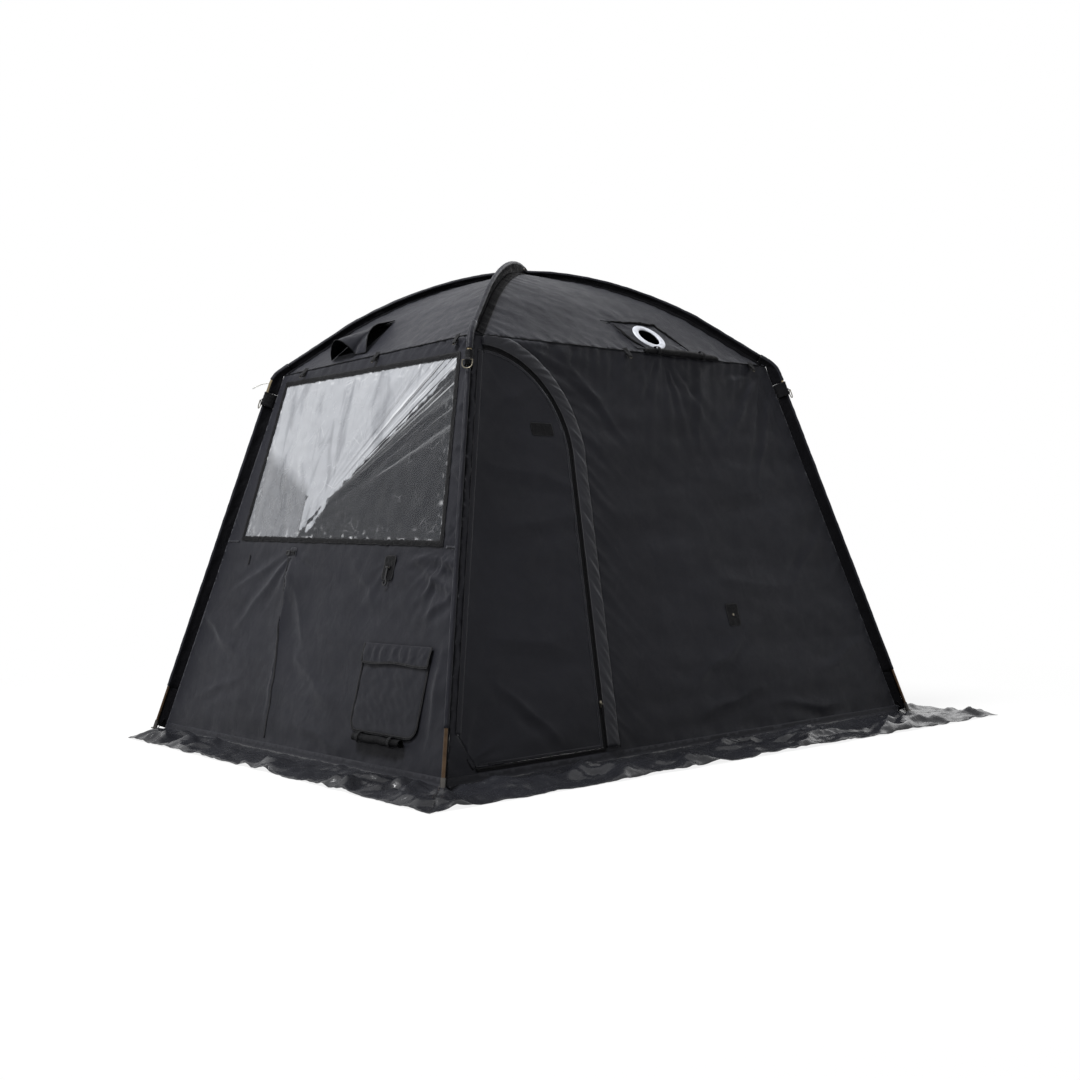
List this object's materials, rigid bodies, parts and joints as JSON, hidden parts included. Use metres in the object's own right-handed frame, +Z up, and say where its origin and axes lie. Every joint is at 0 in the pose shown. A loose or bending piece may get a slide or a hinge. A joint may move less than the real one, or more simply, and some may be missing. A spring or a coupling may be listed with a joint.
{
  "type": "sauna tent",
  "caption": "Black sauna tent on a pole frame with curved roof arches, a zipped door, a clear window, a chimney outlet, a roof vent, a low port and snow skirts.",
  "frame": {"origin": "centre of the footprint on the ground", "axes": "+X along the door wall, with the door at its -X end; -Y outwards through the door wall; -X outwards through the window wall; +Z up"},
  "size_m": [3.0602, 2.8401, 2.0798],
  "materials": {
    "clear_pvc": "clear flexible sheet",
    "elbow_metal": "tan satin",
    "guy_cord": "off-white braid",
    "heat_ring": "silver coated heat-proof cloth",
    "hook_plastic": "black",
    "pole_bronze": "anodised bronze tube",
    "ring_steel": "satin nickel plate",
    "shell_fabric": "matt coated polyester weave",
    "skirt_fabric": "lightly coated, soft sheen, crumpled",
    "sleeve_fabric": "matt black polyester",
    "webbing": "matt black tape and net"
  },
  "bodies": {
    "tent": {"chimney_flap": "webbing", "chimney_panel": "shell_fabric", "chimney_ring": "heat_ring", "corner_patch_front_left": "webbing", "corner_patch_front_right": "webbing", "corner_patch_rear_left": "webbing", "corner_patch_rear_right": "webbing", "corner_sleeve_front_left": "sleeve_fabric", "corner_sleeve_front_right": "sleeve_fabric", "corner_sleeve_rear_left": "sleeve_fabric", "corner_sleeve_rear_right": "sleeve_fabric", "door_wall_tab": "webbing", "door_zip": "webbing", "elbow_front_left": "elbow_metal", "elbow_front_right": "elbow_metal", "elbow_rear_left": "elbow_metal", "elbow_rear_right": "elbow_metal", "foot_tip_front_left": "ring_steel", "foot_tip_front_right": "ring_steel", "foot_tip_rear_left": "ring_steel", "foot_tip_rear_right": "ring_steel", "guy_loop": "guy_cord", "hook_tab": "webbing", "leg_pole_front_left": "pole_bronze", "leg_pole_front_right": "pole_bronze", "leg_pole_rear_left": "pole_bronze", "leg_pole_rear_right": "pole_bronze", "port_panel": "shell_fabric", "port_roll": "webbing", "ridge_sleeve_lower": "sleeve_fabric", "ridge_sleeve_upper": "sleeve_fabric", "roof_arch_lower": "pole_bronze", "roof_arch_upper": "pole_bronze", "roof_front": "shell_fabric", "roof_left": "shell_fabric", "roof_rear": "shell_fabric", "roof_right": "shell_fabric", "skirt_front": "skirt_fabric", "skirt_left": "skirt_fabric", "skirt_rear": "skirt_fabric", "skirt_right": "skirt_fabric", "storm_flap": "shell_fabric", "vent_mesh": "webbing", "wall_front": "shell_fabric", "wall_left": "shell_fabric", "wall_rear": "shell_fabric", "wall_right": "shell_fabric", "window_binding": "webbing", "window_pane": "clear_pvc", "window_strap": "webbing"},
    "door": {"door_panel": "shell_fabric"},
    "zip_slider": {"zip_slider": "ring_steel"},
    "zip_pull": {"zip_pull": "webbing"},
    "vent_hood": {"vent_hood": "shell_fabric"},
    "port_flap": {"port_flap": "shell_fabric"},
    "tab_hook": {"tab_hook": "hook_plastic"},
    "d_ring_front_left": {"d_ring_front_left": "ring_steel"},
    "d_ring_front_right": {"d_ring_front_right": "ring_steel"},
    "d_ring_rear_left": {"d_ring_rear_left": "ring_steel"},
    "d_ring_rear_right": {"d_ring_rear_right": "ring_steel"}
  },
  "joints": [
    {"name": "door_hinge", "type": "hinge", "parent": "tent", "child": "door", "pos_m": [-1.24713, -1.07073, 0.00034], "axis": [-0.26, -0.2167, -0.941], "range_deg": [0, 110]},
    {"name": "zip_slide", "type": "slide", "parent": "tent", "child": "zip_slider", "axis": [0.0788, 0.2237, 0.9715], "range_m": [0, 0.94]},
    {"name": "zip_pull_hinge", "type": "hinge", "parent": "zip_slider", "child": "zip_pull", "pos_m": [-0.53591, -1.03052, 0.21777], "axis": [-0.9969, 0.0177, 0.0768], "range_deg": [0, 150]},
    {"name": "vent_hood_hinge", "type": "hinge", "parent": "tent", "child": "vent_hood", "pos_m": [-0.61054, 0.205, 1.79207], "axis": [0, 1, 0], "range_deg": [0, 80]},
    {"name": "port_flap_hinge", "type": "hinge", "parent": "tent", "child": "port_flap", "pos_m": [-1.16468, -0.638, 0.45904], "axis": [0, 1, 0], "range_deg": [0, 150]},
    {"name": "d_ring_hinge_front_left", "type": "hinge", "parent": "tent", "child": "d_ring_front_left", "pos_m": [-0.92413, -0.77011, 1.48932], "axis": [-0.6402, 0.7682, 0], "range_deg": [0, 150]},
    {"name": "d_ring_hinge_front_right", "type": "hinge", "parent": "tent", "child": "d_ring_front_right", "pos_m": [0.92413, -0.77011, 1.48932], "axis": [-0.6402, -0.7682, 0], "range_deg": [0, 150]},
    {"name": "d_ring_hinge_rear_left", "type": "hinge", "parent": "tent", "child": "d_ring_rear_left", "pos_m": [-0.92413, 0.77011, 1.48932], "axis": [0.6402, 0.7682, 0], "range_deg": [0, 150]},
    {"name": "d_ring_hinge_rear_right", "type": "hinge", "parent": "tent", "child": "d_ring_rear_right", "pos_m": [0.92413, 0.77011, 1.48932], "axis": [0.6402, -0.7682, 0], "range_deg": [0, 150]},
    {"name": "tab_hook_hinge", "type": "hinge", "parent": "tent", "child": "tab_hook", "pos_m": [-1.08846, -0.468, 0.73677], "axis": [0, 1, 0], "range_deg": [0, 150]}
  ]
}
